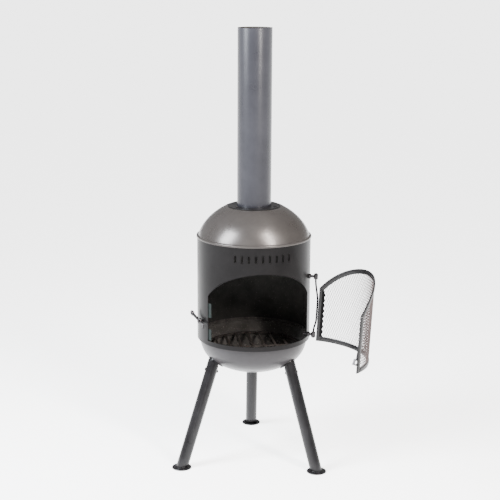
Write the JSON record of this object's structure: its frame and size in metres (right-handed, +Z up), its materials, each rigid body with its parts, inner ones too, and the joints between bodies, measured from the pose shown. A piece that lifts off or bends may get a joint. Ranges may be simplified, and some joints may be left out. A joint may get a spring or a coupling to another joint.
{
  "type": "chiminea",
  "caption": "Steel garden fire: round body with an arched mouth and domed top, tall straight flue, splayed tube legs with disc feet, hinged mesh door and a twisted latch bar.",
  "frame": {"origin": "middle of the bounding box's footprint, on the floor, with the door at its rest opening", "axes": "+Z up along the flue; the mouth faces -Y, and the door hangs at the +X side of it"},
  "size_m": [0.6636, 0.8148, 1.536],
  "materials": {
    "charcoal_paint": "satin heat-resistant paint",
    "blackened_fastener": "dull, blackened by heat",
    "expanded_metal": "bare, lightly heat-tinted"
  },
  "bodies": {
    "fire_body": {"body_shell": "charcoal_paint", "bowl": "charcoal_paint", "dome": "charcoal_paint", "door_stop_lower": "charcoal_paint", "door_stop_upper": "charcoal_paint", "eyebolt_lower": "blackened_fastener", "eyebolt_nut_lower_inner": "blackened_fastener", "eyebolt_nut_lower_outer": "blackened_fastener", "eyebolt_nut_upper_inner": "blackened_fastener", "eyebolt_nut_upper_outer": "blackened_fastener", "eyebolt_upper": "blackened_fastener", "fire_grate": "blackened_fastener", "flange_screw_1": "blackened_fastener", "flange_screw_2": "blackened_fastener", "flange_screw_3": "blackened_fastener", "flue_flange": "charcoal_paint", "flue_pipe": "charcoal_paint", "foot_1": "charcoal_paint", "foot_2": "charcoal_paint", "foot_3": "charcoal_paint", "latch_pivot": "blackened_fastener", "latch_pivot_nut": "blackened_fastener", "leg_1": "charcoal_paint", "leg_2": "charcoal_paint", "leg_3": "charcoal_paint", "leg_bolt_1": "blackened_fastener", "leg_bolt_2": "blackened_fastener", "leg_bolt_3": "blackened_fastener", "leg_nut_1": "blackened_fastener", "leg_nut_2": "blackened_fastener", "leg_nut_3": "blackened_fastener", "leg_socket_1": "charcoal_paint", "leg_socket_2": "charcoal_paint", "leg_socket_3": "charcoal_paint"},
    "door": {"door_arch_rail": "charcoal_paint", "door_bottom_rail": "charcoal_paint", "door_hinge_stile": "charcoal_paint", "door_latch_stile": "charcoal_paint", "door_mesh": "expanded_metal", "hinge_rod": "charcoal_paint", "latch_strap": "blackened_fastener"},
    "latch": {"latch_handle": "charcoal_paint"}
  },
  "joints": [
    {"name": "door_swing", "type": "hinge", "parent": "fire_body", "child": "door", "pos_m": [0.17326, -0.02961, 0.47], "axis": [0.0328, 0.0119, 0.9994], "range_deg": [-98.3, 60]},
    {"name": "latch_swing", "type": "hinge", "parent": "fire_body", "child": "latch", "pos_m": [-0.22608, -0.00003, 0.527], "axis": [-0.9527, -0.304, 0], "range_deg": [-20, 25]}
  ]
}
